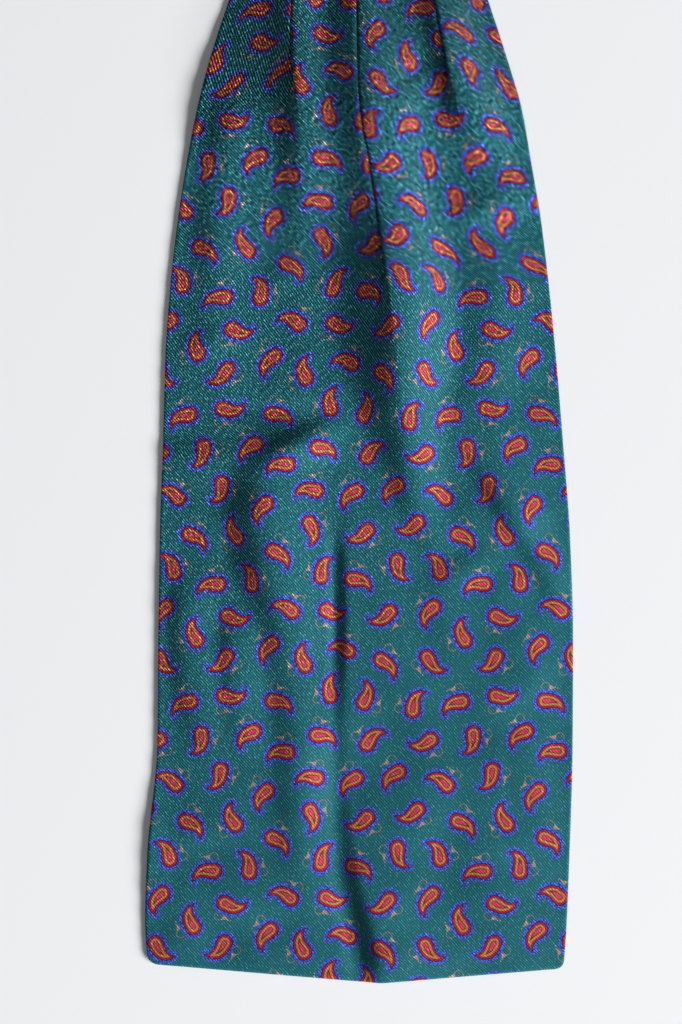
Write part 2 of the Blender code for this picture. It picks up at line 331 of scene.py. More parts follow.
SWELLS_SHOWN = (
    Swell(330, 4, 84, 58, 0, 6.2),
    Swell(296, 54, 30, 10, 18, 2.6),
    Swell(312, 48, 26, 9, 10, -1.6),
    Swell(344, 19, 19, 4, 39, -1.5),
    Swell(336, 58, 12, 9, 60, -0.8),
    Swell(217, -30, 30, 8, -4, -1.8),
    Swell(204, -25, 26, 9, -6, 2.2),
    Swell(199, -54, 30, 11, -6, 2.2),
    Swell(183, -60, 20, 8, -20, -1),
    Swell(158, 42, 16, 9, 20, 1.2),
    Swell(240, 56, 20, 12, -30, 1.2),
    Swell(266, -32, 20, 9, 34, 0.8),
    Swell(242, -58, 18, 8, 24, 0.8),
    Swell(110, 52, 24, 14, 15, 1.1),
    Swell(84, 66, 12, 20, 0, 0.8),
    Swell(52, 40, 26, 12, -14, 0.9),
    Swell(134, 16, 18, 9, -34, 0.7),
    Swell(60, -56, 20, 13, 24, 1),
    Swell(30, -40, 22, 10, -10, 0.7),
    Swell(52, -82, 15, 46, 0, 0.9),
    Swell(345, -62, 15, 34, 0, 0.9),
)

SWELLS_FAR = (
    Swell(302, -40, 20, 9, -8, 1.2),
    Swell(330, 18, 16, 3.5, 35, -0.8),
    Swell(232, 54, 18, 11, 24, 0.9),
    Swell(130, 58, 22, 12, -18, 0.8),
    Swell(84, -54, 22, 14, 16, 0.8),
    Swell(34, 48, 24, 11, 8, 0.6),
)

# Soft unevenness everywhere: crossing waves that bend a little as they go.
Wave = namedtuple("Wave", "length angle phase height")
WAVES = (
    Wave(67, 31, 0.6, 0.34),
    Wave(53, 112, 2.1, 0.26),
    Wave(41, -36, 4, 0.21),
    Wave(31, 71, 1.2, 0.17),
    Wave(24, 8, 5.1, 0.12),
    Wave(17, -63, 3.3, 0.07),
    Wave(11, 48, 0.4, 0.03),
)
WAVE_BEND = 1.5
WAVE_BEND_LENGTH = 90.0
WAVE_AT_EDGE = 0.2
WAVE_EDGE_WIDTH = 16.0

EDGE_LOFT = 0.1
EDGE_LOFT_WIDTH = 14.0
PILLOW = 0.9
PILLOW_WIDTH = 22.0
PUCKER_HEIGHT = 0.12
PUCKER_LENGTH = 11.0
PUCKER_REACH = 11.0
PUCKER_DRIFT = 2.2
PUCKER_DRIFT_LENGTH = 17.0
RELIEF_FADE_TIP = (-8.0, 12.0)
RELIEF_FADE_NECK = (392.0, 412.0)
OPEN_ROUNDING = 0.5
LOWEST_RELIEF = -0.8

# ------------------------ the sheets' grids

CLOTH = 0.5
EDGE_RADIUS = 0.55
EDGE_LEVEL = 0.95
RETURN_WIDTH = 3.0
RETURN_SHARES = (0.34, 0.67, 1.0)
SEAM_OPENING = 0.45
EDGE_STEPS = (0.0, 0.06, 0.22, 0.5, 0.85, 1.3, 1.9)
TIP_STEPS = (2.6, 3.5, 4.6, 6.0)
CORNER_FADE = 12.0
ROUND_OVER = 1.6
ROLL_ANGLES = (30.0, 60.0, 90.0)
ROW_PITCH = 2.1
TURN_POINTS = 7
RUN_POINTS = 9
SPAN_COUNTS = (34, 14, 22, 16)
DIVE_SHARES = (0.0, 0.25, 0.5, 0.75, 1.0)
DIVE_WIDTH = 1.0
DIVE_CLEAR = 0.5
PANEL_END = 428.0
BACK_ROWS = 90
BACK_COLUMNS = 34

Blade = namedtuple("Blade", "pleats ridges swells phase")


def fade_in(value, start, end):
    """A smooth step from 0 at start to 1 at end."""
    t = np.clip((value - start) / (end - start), 0.0, 1.0)
    return t * t * (3.0 - 2.0 * t)


def bell(distance, reach):
    """A soft bump: 1 at no distance, 0 at reach."""
    t = np.clip(np.abs(distance) / reach, 0.0, 1.0)
    return 0.5 + 0.5 * np.cos(math.pi * t)


def turned(x, y, degrees):
    """A place's distances along and across a direction that is turned from the x axis."""
    turn = math.radians(degrees)
    return x * math.cos(turn) + y * math.sin(turn), y * math.cos(turn) - x * math.sin(turn)


def column(rows, name, s):
    """A table's column read at s, along a smooth curve through its rows (monotone between them)."""
    ordered = sorted(rows, key=lambda row: row.s)
    places = np.array([row.s for row in ordered])
    values = np.array([getattr(row, name) for row in ordered], dtype=float)
    steps = np.diff(places)
    slopes = np.diff(values) / steps
    tangents = np.zeros(len(values))
    same_way = slopes[:-1] * slopes[1:] > 0.0
    together = np.where(same_way, slopes[:-1] + slopes[1:], 1.0)
    tangents[1:-1] = np.where(same_way, 2.0 * slopes[:-1] * slopes[1:] / together, 0.0)
    tangents[0] = slopes[0]
    tangents[-1] = slopes[-1]
    s = np.clip(s, places[0], places[-1])
    k = np.clip(np.searchsorted(places, s, side="right") - 1, 0, len(steps) - 1)
    t = (s - places[k]) / steps[k]
    rest = 1.0 - t
    return float(values[k] * (1.0 + 2.0 * t) * rest ** 2
                 + tangents[k] * steps[k] * t * rest ** 2
                 + values[k + 1] * (3.0 - 2.0 * t) * t ** 2
                 - tangents[k + 1] * steps[k] * t ** 2 * rest)


def tip_slope(x):
    """How far the tip's edge lies up the blade from its point."""
    side = np.where(x < TIP_X, TIP_RISE_LEFT / TIP_WIDTH_LEFT, TIP_RISE_RIGHT / TIP_WIDTH_RIGHT)
    return side * np.abs(x - TIP_X)


def corner_rise(x, left, right):
    """How far the round lower corners lift the tip's edge."""
    rise = np.zeros_like(x)
    for distance, radius in ((x - left, CORNER_LEFT), (right - x, CORNER_RIGHT)):
        inside = np.clip(radius - distance, 0.0, radius)
        rise += radius - np.sqrt(radius ** 2 - inside ** 2)
    return rise


def edge_distance(x, y, left, right):
    """How far inside the outline a point lies, round corners and all."""
    up = y - tip_slope(x)
    distance = np.minimum(np.minimum(x - left, right - x), up)
    for side, radius in ((x - left, CORNER_LEFT), (right - x, CORNER_RIGHT)):
        corner = (side < radius) & (up < radius)
        reach = np.hypot(radius - side, radius - up)
        distance = np.where(corner, radius - reach, distance)
    return np.maximum(distance, 0.0)


def relief(blade, s, x, left, right):
    """The height of the loose cloth over its pressed level at one place along the blade."""
    inside = np.minimum(x - left, right - x)
    height = EDGE_LOFT * bell(inside, EDGE_LOFT_WIDTH)
    height = height + PILLOW * fade_in(inside, 0.0, PILLOW_WIDTH)
    drift = PUCKER_DRIFT * math.sin(s / PUCKER_DRIFT_LENGTH)
    pucker = np.sin(2.0 * math.pi * s / PUCKER_LENGTH + drift + blade.phase)
    height = height + PUCKER_HEIGHT * pucker * bell(inside, PUCKER_REACH)
    for ridge in blade.ridges:
        if ridge[-1].s <= s <= ridge[0].s:
            distance = x - column(ridge, "x", s)
            reach = np.where(distance < 0.0, column(ridge, "left", s), column(ridge, "right", s))
            height = height + column(ridge, "height", s) * bell(distance, reach)
    for swell in blade.swells:
        along, across = turned(x - swell.x, s - swell.s, swell.angle)
        height = height + swell.height * bell(np.hypot(along / swell.along, across / swell.across), 1.0)
    loose = WAVE_AT_EDGE + (1.0 - WAVE_AT_EDGE) * fade_in(inside, 0.0, WAVE_EDGE_WIDTH)
    for wave in WAVES:
        along, across = turned(x, s, wave.angle)
        bend = WAVE_BEND * np.sin(2.0 * math.pi * across / WAVE_BEND_LENGTH + wave.length)
        turns = 2.0 * math.pi * along / wave.length + wave.phase + blade.phase
        height = height + loose * wave.height * np.sin(turns + bend)
    height = np.maximum(height, LOWEST_RELIEF) * fade_in(s, *RELIEF_FADE_TIP)
    return height * (1.0 - fade_in(s, *RELIEF_FADE_NECK))


def knife_fold(overlap, rise):
    """A fold from a lower layer on the left to an upper one on the right, its upper turn at x = 0.

    Two round turns and the straight run between them. With overlap above zero the run goes back
    under the upper layer; below zero the fold is open and the run is a slope.
    """
    advance = -overlap
    radius = rise / 4.0
    if advance > 0.0:
        radius += OPEN_ROUNDING * advance ** 2 / (4.0 * rise)
    spread = math.hypot(advance, rise - 2.0 * radius)
    turn = math.atan2(rise - 2.0 * radius, advance) + math.asin(min(1.0, 2.0 * radius / spread))
    angles = np.linspace(0.0, turn, TURN_POINTS)
    lower = np.column_stack((-advance + radius * np.sin(angles), radius - radius * np.cos(angles)))
    angles = angles[::-1]
    upper = np.column_stack((-radius * np.sin(angles), rise - radius + radius * np.cos(angles)))
    return np.vstack((lower, span(lower[-1], upper[0], RUN_POINTS), upper))


def dive_points(height):
    """The lower layer beside a fold's edge at x = 0: it dives from its full height into the gap."""
    shares = np.array(DIVE_SHARES)
    fall = 1.0 - fade_in(shares, 0.0, 1.0)
    return np.column_stack((-DIVE_CLEAR - DIVE_WIDTH * (1.0 - shares), height * fall))


def front_section(blade, s):
    """One section of a front panel from its left outline to its right: x and height of each point."""
    left = column(STATIONS, "left", s)
    right = column(STATIONS, "right", s)
    edge = np.array(EDGE_STEPS)
    level = np.full(len(edge), EDGE_LEVEL)
    parts = [np.column_stack((left + edge, level))]
    behind = parts[0][-1]
    for count, pleat in zip(SPAN_COUNTS, blade.pleats):
        rise = column(pleat.folds, "rise", s)
        fold = knife_fold(column(pleat.folds, "overlap", s), rise)
        dive = dive_points(column(pleat.folds, "full", s) * rise)
        x = column(pleat.folds, "x", s)
        if pleat.over == "right":
            fold = fold + (x, FRONT_LEVEL)
            dive = dive + (min(x, fold[0][0]), FRONT_LEVEL)
            parts += [span(behind, dive[0], count), dive, fold]
            behind = fold[-1]
        else:
            fold = fold[::-1] * (-1.0, 1.0) + (x, FRONT_LEVEL)
            dive = dive[::-1] * (-1.0, 1.0) + (max(x, fold[-1][0]), FRONT_LEVEL)
            parts += [span(behind, fold[0], count), fold, dive]
            behind = dive[-1]
    last = np.column_stack((right - edge[::-1], level))
    parts += [span(behind, last[0], SPAN_COUNTS[-1]), last]
    section = np.vstack(parts)
    section[:, 1] += relief(blade, s, section[:, 0], left, right)
    return section, left, right


def span(start, end, count):
    """Points between two others, without the ends."""
    share = np.linspace(0.0, 1.0, count + 2)[1:-1, None]
    return start + (end - start) * share


def run_along(section):
    """How far along a section each of its points lies."""
    steps = np.linalg.norm(np.diff(section, axis=0), axis=1)
    return np.concatenate(((0.0,), np.cumsum(steps)))


def row_places():
    """The distances up the blade at which a panel has a row of points, close together at the tip."""
    near_tip = list(EDGE_STEPS + TIP_STEPS)
    count = int(round((PANEL_END - near_tip[-1]) / ROW_PITCH))
    return near_tip + list(np.linspace(near_tip[-1], PANEL_END, count + 1)[1:])


def lift(s):
    """How far the neck end rises onto the neckband's lower layer."""
    return column(STATIONS, "lift", s)


def front_grid(blade):
    """The top of a front panel as a grid of points, with each point's place on the flat cloth."""
    points = []
    cloth = []
    fold_points = len(DIVE_SHARES) + 2 * TURN_POINTS + RUN_POINTS
    middle = len(EDGE_STEPS) + SPAN_COUNTS[0] + fold_points + SPAN_COUNTS[1] // 2
    for s in row_places():
        section, left, right = front_section(blade, s)
        x = section[:, 0]
        fading = max(0.0, 1.0 - s / TIP_FADE)
        rounding = max(0.0, 1.0 - s / CORNER_FADE)
        y = s + tip_slope(x) * fading + corner_rise(x, left, right) * rounding
        inside = edge_distance(x, y, left, right) if s < TIP_FADE else np.minimum(x - left, right - x)
        low = 0.5 * CLOTH + EDGE_RADIUS
        share = np.clip(inside / (ROUND_OVER * EDGE_RADIUS), 0.0, 1.0)
        round_over = np.sqrt(1.0 - (1.0 - share) ** 2)
        height = low + np.maximum(section[:, 1] - low, 0.0) * round_over
        points.append(np.column_stack((x, y, height + lift(s))))
        length = run_along(section)
        cloth.append(np.column_stack((length - length[middle], y)))
    return np.array(points), np.array(cloth)


def grid_faces(rows, columns, start=0):
    """The quads of a grid of points."""
    first = (np.arange(rows - 1)[:, None] * columns + np.arange(columns - 1)[None, :]).ravel() + start
    return np.column_stack((first, first + 1, first + columns + 1, first + columns))


def rolled_edge(points, cloth):
    """Rings that carry a grid's side and tip edges round and back under: points, cloth, faces."""
    rows, columns = points.shape[:2]
    index = np.arange(rows * columns).reshape(rows, columns)
    border = np.concatenate((index[::-1, 0], index[0, 1:-1], index[:, -1]))
    base = points.reshape(-1, 3)[border]
    flat = cloth.reshape(-1, 2)[border]
    tangent = np.gradient(base[:, :2], axis=0)
    tangent /= np.linalg.norm(tangent, axis=1)[:, None]
    inward = np.column_stack((-tangent[:, 1], tangent[:, 0]))
    low = base[:, 2] - EDGE_RADIUS
    rings = []
    for angle in ROLL_ANGLES:
        turn = math.radians(angle)
        rings.append((EDGE_RADIUS * (1.0 - math.cos(turn)), EDGE_RADIUS * (1.0 - math.sin(turn)),
                      EDGE_RADIUS * turn))
    quarter = 0.5 * math.pi * EDGE_RADIUS
    for share in RETURN_SHARES:
        rings.append((EDGE_RADIUS + RETURN_WIDTH * share, 0.0, quarter + RETURN_WIDTH * share))
    new_points = []
    new_cloth = []
    faces = []
    before = border
    count = rows * columns
    for inset, height, run in rings:
        plan = base[:, :2] + inward * inset
        new_points.append(np.column_stack((plan, low + height)))
        new_cloth.append(flat - inward * run)
        ring = np.arange(len(border)) + count
        faces.append(np.column_stack((before[1:], before[:-1], ring[:-1], ring[1:])))
        before = ring
        count += len(border)
    return np.vstack(new_points), np.vstack(new_cloth), np.vstack(faces)


def front_sheet(blade):
    """A front panel: its top, and its edges rolled under."""
    points, cloth = front_grid(blade)
    rows, columns = points.shape[:2]
    more_points, more_cloth, more_faces = rolled_edge(points, cloth)
    all_points = np.vstack((points.reshape(-1, 3), more_points))
    all_cloth = np.vstack((cloth.reshape(-1, 2), more_cloth))
    faces = np.vstack((grid_faces(rows, columns), more_faces))
    return all_points, all_cloth, faces


def back_sheet(blade):
    """A back panel: flat on the surface, just inside the front panel's returns."""
    inset = EDGE_RADIUS + RETURN_WIDTH + SEAM_OPENING
    places = np.linspace(0.0, PANEL_END, BACK_ROWS)
    share = np.linspace(0.0, 1.0, BACK_COLUMNS)
    points = []
    for s in places:
        left = column(STATIONS, "left", s) + inset
        right = column(STATIONS, "right", s) - inset
        x = left + (right - left) * share
        y = s + (tip_slope(x) + inset) * max(0.0, 1.0 - s / TIP_FADE)
        height = np.full(len(x), 0.5 * CLOTH + lift(s))
        points.append(np.column_stack((x, y, height)))
    points = np.array(points)
    cloth = points[:, :, :2].reshape(-1, 2) + (0.0, blade.phase)
    return points.reshape(-1, 3), cloth, grid_faces(BACK_ROWS, BACK_COLUMNS)


# The neckband: the height of its upper layer at distances s from its middle.
BandStation = namedtuple("BandStation", "s top")
BAND_STATIONS = (
    BandStation(0, 2),
    BandStation(100, 2),
    BandStation(132, 2.6),
    BandStation(150, 3.8),
    BandStation(166, 6),
    BandStation(178, 7.1),
    BandStation(190, 7.25),
)
BAND_PITCH = 2.5
BAND_SEAM = 0.15
BAND_ROLL_POINTS = 9
BAND_TOP_POINTS = 30
BAND_UNDER_POINTS = 8
BAND_WAVES = (
    Wave(90, 82, 0.4, 0.30),
    Wave(47, 68, 2, 0.22),
    Wave(31, 20, 3.1, 0.14),
    Wave(17, 74, 5, 0.08),
)

# The neckband's width wavers by "width" to each side, once in every 2 pi times "pace".
Sway = namedtuple("Sway", "pace phase width")
BAND_SWAYS = (Sway(23, 0, 0.25), Sway(9, 1, 0.15))

# Gathers of the upper layer at both mouths, which fade out between two distances from the mouth.
MOUTH_GATHER = 0.45
MOUTH_GATHER_LENGTH = 9.0
MOUTH_GATHER_PHASE = 1.3
MOUTH_GATHER_FADE = (2.0, 34.0)

# Running stitches across each mouth, sunk a little into the cloth at both ends.
STITCHES_PER_MOUTH = 11
STITCH_PITCH = 3.6
STITCH_LENGTH = 2.3
STITCH_WIDTH = 0.5
STITCH_HEIGHT = 0.36
STITCH_END = 0.02
STITCH_SINK = 0.2
STITCH_INSET = 3.0
STITCH_SIDES = 8
STITCH_RINGS = 7


def band_section(y):
    """One section across the neckband, a strip folded to a flat tube that closes underneath."""
    top = column(BAND_STATIONS, "top", abs(y))
    sway = sum(each.width * math.sin(y / each.pace + each.phase) for each in BAND_SWAYS)
    half = 0.5 * (NECKBAND_WIDTH - 1.0) + sway
    low = 0.5 * CLOTH
    radius = 0.5 * (top - low)
    angles = np.linspace(0.0, math.pi, BAND_ROLL_POINTS)
    roll = np.column_stack((half - radius + radius * np.sin(angles),
                            low + radius - radius * np.cos(angles)))
    seam = np.array((BAND_SEAM, low))
    right = np.vstack((seam, span(seam, roll[0], BAND_UNDER_POINTS), roll))
    left = right * (-1.0, 1.0)
    section = np.vstack((left, span(left[-1], right[-1], BAND_TOP_POINTS), right[::-1]))
    x = section[:, 0]
    loose = bell(x, half) * fade_in(section[:, 1], low + radius, top)
    height = 0.0
    for wave in BAND_WAVES:
        along, _ = turned(x, y, wave.angle)
        height = height + wave.height * (1.0 + np.sin(2.0 * math.pi * along / wave.length + wave.phase))
    near_mouth = 1.0 - fade_in(0.5 * NECKBAND_LENGTH - abs(y), *MOUTH_GATHER_FADE)
    phase = math.copysign(MOUTH_GATHER_PHASE, y)
    gather = MOUTH_GATHER * np.sin(2.0 * math.pi * x / MOUTH_GATHER_LENGTH + phase)
    section[:, 1] += loose * (height + near_mouth * gather)
    return section


def band_sheet():
    """The neckband's strip."""
    half = 0.5 * NECKBAND_LENGTH
    places = np.linspace(-half, half, int(NECKBAND_LENGTH / BAND_PITCH) + 1)
    points = []
    cloth = []
    for y in places:
        section = band_section(y)
        length = run_along(section)
        place = np.full(len(section), y)
        points.append(np.column_stack((section[:, 0], place, section[:, 1])))
        cloth.append(np.column_stack((length - 0.5 * length[-1], place)))
    points = np.array(points)
    rows, columns = points.shape[:2]
    return points.reshape(-1, 3), np.array(cloth).reshape(-1, 2), grid_faces(rows, columns)


# ------------------------ the print's layout

# Paisleys are tossed over a repeat in all directions. One is drawn in its own frame: its spine
# starts at the middle of its round head, runs straight for a little, and then bends to the +q side.
REPEAT = np.array((104.0, 109.0))
MOTIF_COLUMNS = 6
MOTIF_ROWS = 7
SPINE_STRAIGHT = 2.6
SPINE_BEND = 5.2
BODY_RADIUS = 2.85
BODY_LENGTH = 9.7
HALO_WIDTH = 1.75

Disc = namedtuple("Disc", "p q radius")
MOTIF_DISCS = (
    Disc(0, 0, 4.2),
    Disc(3.6, 0.1, 3.8),
    Disc(6.3, 1.6, 2.7),
    Disc(7.6, 4.2, 1.9),
    Disc(6.8, 6, 1),
    Disc(0.4, -5.35, 2),
    Disc(2.8, -5.1, 0.9),
    Disc(5, -4.9, 0.4),
)
MOTIF_MIDDLE = (2.9, 0.0)
FIRST_JITTER = 3.2
SETTLING_ROUNDS = 60
SETTLING_TRIES = 5
CLOSEST_COUNTED = 3
SETTLING_STEP = 2.2
SETTLING_TURN = 0.6

Motifs = namedtuple("Motifs", "heads angles flips")


def disc_places(head, angle, flip):
    """Where a motif's covering discs lie on the cloth."""
    discs = np.array([(disc.p, disc.q * flip) for disc in MOTIF_DISCS])
    turn = np.array(((math.cos(angle), -math.sin(angle)), (math.sin(angle), math.cos(angle))))
    return head + discs @ turn.T


def shortest(apart):
    """Steps between places, each taken to the nearest copy in the repeat."""
    return apart - REPEAT * np.round(apart / REPEAT)


def clearance(places, others):
    """The least room between one motif's discs and the discs of the others, round the repeat."""
    radii = np.array([disc.radius for disc in MOTIF_DISCS])
    apart = shortest(places[:, None, None, :] - others[None, :, :, :])
    room = np.linalg.norm(apart, axis=3) - radii[:, None, None] - radii[None, None, :]
    return np.sort(room.min(axis=(0, 2)))[:CLOSEST_COUNTED].sum() + CLOSEST_COUNTED * room.min()


def tossed_motifs():
    """Motifs set out evenly, turned every way, half of them mirrored, then nudged to have room."""
    random = np.random.default_rng(SEED)
    count = MOTIF_COLUMNS * MOTIF_ROWS
    cell = REPEAT / (MOTIF_COLUMNS, MOTIF_ROWS)
    places = [((k + 0.5 * (row % 2)) * cell[0], row * cell[1])
              for row in range(MOTIF_ROWS) for k in range(MOTIF_COLUMNS)]
    angles = random.permutation(count) * 2.0 * math.pi / count
    flips = np.where(random.permutation(count) % 2 == 0, 1.0, -1.0)
    heads = np.array(places) + random.normal(0.0, FIRST_JITTER, (count, 2)) - [
        (MOTIF_MIDDLE[0] * math.cos(a), MOTIF_MIDDLE[0] * math.sin(a)) for a in angles
    ]
    discs = np.array([disc_places(*motif) for motif in zip(heads, angles, flips)])
    for turn in range(SETTLING_ROUNDS):
        cooling = 1.0 - turn / SETTLING_ROUNDS
        for k in range(count):
            others = np.delete(discs, k, axis=0)
            best = clearance(discs[k], others)
            for _ in range(SETTLING_TRIES):
                head = heads[k] + random.normal(0.0, SETTLING_STEP * cooling, 2)
                angle = angles[k] + random.normal(0.0, SETTLING_TURN * cooling)
                tried = disc_places(head, angle, flips[k])
                room = clearance(tried, others)
                if room > best:
                    best = room
                    heads[k] = head
                    angles[k] = angle
                    discs[k] = tried
    return Motifs(heads, angles, flips)


def motif_maps(cloth, faces, motifs):
    """Each face corner's place in the frames of the two motifs nearest to the face."""
    corners = cloth[faces]
    middles = corners.mean(axis=1)
    cosine = np.cos(motifs.angles)
    sine = np.sin(motifs.angles)
    room = np.full((len(faces), len(motifs.heads)), np.inf)
    for disc in MOTIF_DISCS:
        q = disc.q * motifs.flips
        place = motifs.heads + np.column_stack((disc.p * cosine - q * sine, disc.p * sine + q * cosine))
        apart = shortest(middles[:, None, :] - place[None, :, :])
        room = np.minimum(room, np.linalg.norm(apart, axis=2) - disc.radius)
    order = np.argsort(room, axis=1, kind="stable")[:, :2]
    maps = []
    for near in (order[:, 0], order[:, 1]):
        middle = motifs.heads[near] + motif_shift(middles, motifs, near)
        local = corners - middle[:, None, :]
        c = cosine[near][:, None]
        s = sine[near][:, None]
        p = local[:, :, 0] * c + local[:, :, 1] * s
        q = (local[:, :, 1] * c - local[:, :, 0] * s) * motifs.flips[near][:, None]
        maps.append(np.stack((p, q), axis=2))
    return maps


def motif_shift(middles, motifs, near):
    """The whole repeats between a motif in the first repeat and its copy next to each face."""
    c = np.cos(motifs.angles[near])
    s = np.sin(motifs.angles[near])
    centre = motifs.heads[near] + np.column_stack((MOTIF_MIDDLE[0] * c, MOTIF_MIDDLE[0] * s))
    return REPEAT * np.round((middles - centre) / REPEAT)


# ------------------------ meshes

BAKE_SPAN = 368.0
BAKE_HALF = 214.0
BAKE_EDGE = 92.0
BAKE_MARGIN = 6.0
BAKE_INNER_ROW = 0.62
BAKE_INNER_SCALES = (0.8, 0.74)


def bake_map(corners, inner):
    """Places on the texture sheet: the outer face in two halves side by side, the inner above them."""
    u = corners[:, :, 0] + BAKE_EDGE
    v = corners[:, :, 1] - corners[:, :, 1].min() + BAKE_MARGIN
    upper = v.mean(axis=1, keepdims=True) > BAKE_HALF + BAKE_MARGIN
    outer_u = np.where(upper, u + 0.5 * BAKE_SPAN, u) / BAKE_SPAN
    outer_v = np.where(upper, v - BAKE_HALF, v) / BAKE_SPAN
    inner_u = BAKE_INNER_SCALES[0] * v / BAKE_SPAN
    inner_v = BAKE_INNER_ROW + BAKE_INNER_SCALES[1] * u / BAKE_SPAN
    inner = inner[:, None]
    return np.stack((np.where(inner, inner_u, outer_u), np.where(inner, inner_v, outer_v)), axis=2)


def vertex_normals(points, faces):
    """The mean direction of the faces round each point."""
    corner = points[faces]
    facing = np.cross(corner[:, 2] - corner[:, 0], corner[:, 3] - corner[:, 1])
    normals = np.zeros_like(points)
    for k in range(4):
        np.add.at(normals, faces[:, k], facing)
    return normals / np.linalg.norm(normals, axis=1)[:, None]


def thickened(points, faces):
    """A sheet made a thin wall: its points moved half the cloth each way, and its rim closed."""
    normals = vertex_normals(points, faces)
    count = len(points)
    both = np.vstack((points + 0.5 * CLOTH * normals, points - 0.5 * CLOTH * normals))
    edges = np.vstack([faces[:, (k, (k + 1) % 4)] for k in range(4)])
    forward = edges[:, 0] * count + edges[:, 1]
    backward = edges[:, 1] * count + edges[:, 0]
    rim = edges[~np.isin(forward, backward)]
    rim_faces = np.column_stack((rim[:, 1], rim[:, 0], rim[:, 0] + count, rim[:, 1] + count))
    return both, np.vstack((faces, faces[:, ::-1] + count, rim_faces)), len(faces)


def add_thing(name, points, faces, material):
    """A smooth mesh object in the scene, from points in metres."""
    mesh = bpy.data.meshes.new(name)
    mesh.from_pydata(points, [], faces)
    mesh.shade_smooth()
    mesh.materials.append(material)
    thing = bpy.data.objects.new(name, mesh)
    bpy.context.scene.collection.objects.link(thing)
    return thing


def add_cloth(name, sheet, motifs, material, half_round=False):
    """A mesh object of one sheet of cloth, with its maps."""
    points, cloth, faces = sheet
    wall, wall_faces, outer_count = thickened(points, faces)
    wall[:, 2] = np.maximum(wall[:, 2], 0.0)
    if half_round:
        wall[:, :2] *= -1.0
    cloth = np.vstack((cloth, cloth))
    corners = cloth[wall_faces]
    inner = np.arange(len(wall_faces)) >= outer_count
    maps = {"OFBake": bake_map(corners, inner), "cloth": corners}
    maps["motif_near"], maps["motif_next"] = motif_maps(cloth, wall_faces, motifs)
    thing = add_thing(name, (wall * MM).tolist(), wall_faces.tolist(), material)
    for map_name, values in maps.items():
        layer = thing.data.uv_layers.new(name=map_name)
        layer.data.foreach_set("uv", values.reshape(-1).astype(np.float32))
    return thing


def band_top(x, y):
    """The neckband's upper side at one place, and how steeply it rises along the band."""
    heights = []
    for place in (y, y + STITCH_WIDTH):
        section = band_section(place)
        upper = section[BAND_UNDER_POINTS + BAND_ROLL_POINTS:-(BAND_UNDER_POINTS + BAND_ROLL_POINTS)]
        heights.append(float(np.interp(x, upper[:, 0], upper[:, 1])))
    return heights[0] + 0.5 * CLOTH, (heights[1] - heights[0]) / STITCH_WIDTH


def stitch_rows():
    """The places of the running stitches that hold each blade in the neckband's mouth."""
    first = -0.5 * (STITCHES_PER_MOUTH - 1) * STITCH_PITCH
    for side in (-1.0, 1.0):
        y = side * (0.5 * NECKBAND_LENGTH - STITCH_INSET)
        for k in range(STITCHES_PER_MOUTH):
            yield first + k * STITCH_PITCH, y


def add_stitches(name, material):
    """Running stitches of thread across both mouths of the neckband, each a small half-sunk bead."""
    points = []
    faces = []
    around = np.linspace(0.0, 2.0 * math.pi, STITCH_SIDES, endpoint=False)
    shares = np.linspace(-1.0, 1.0, STITCH_RINGS)
    for x, y in stitch_rows():
        start = len(points)
        for share in shares:
            thick = math.sqrt(max(0.0, 1.0 - share ** 4)) + STITCH_END
            place = x + 0.5 * STITCH_LENGTH * share
            top, slope = band_top(place, y)
            sunk = STITCH_SINK * share ** 2
            for turn in around:
                across = 0.5 * STITCH_WIDTH * thick * math.cos(turn)
                height = 0.5 * STITCH_HEIGHT * thick * math.sin(turn) + across * slope
                points.append((place * MM, (y + across) * MM, (top + height - sunk) * MM))
        for ring in range(STITCH_RINGS - 1):
            for k in range(STITCH_SIDES):
                here = start + ring * STITCH_SIDES
                beside = (k + 1) % STITCH_SIDES
                above = here + STITCH_SIDES
                faces.append((here + k, here + beside, above + beside, above + k))
        faces.append(tuple(range(start + STITCH_SIDES - 1, start - 1, -1)))
        last = start + (STITCH_RINGS - 1) * STITCH_SIDES
        faces.append(tuple(range(last, last + STITCH_SIDES)))
    return add_thing(name, points, faces, material)


def placed(sheet):
    """A blade's sheet moved from the blade's own frame to its place at -Y."""
    points, cloth, faces = sheet
    return points + (0.0, TIP_Y, 0.0), cloth, faces


# ------------------------ materials


def srgb(red, green, blue):
    """A display colour in 0 to 255 as the linear colour that shaders take."""
    def linear(value):
        share = value / 255.0
        return share / 12.92 if share <= 0.04045 else ((share + 0.055) / 1.055) ** 2.4
    return (linear(red), linear(green), linear(blue), 1.0)


def set_inputs(node, values):
    """Give a node's inputs their values by name."""
    for socket, value in values.items():
        node.inputs[socket].default_value = value


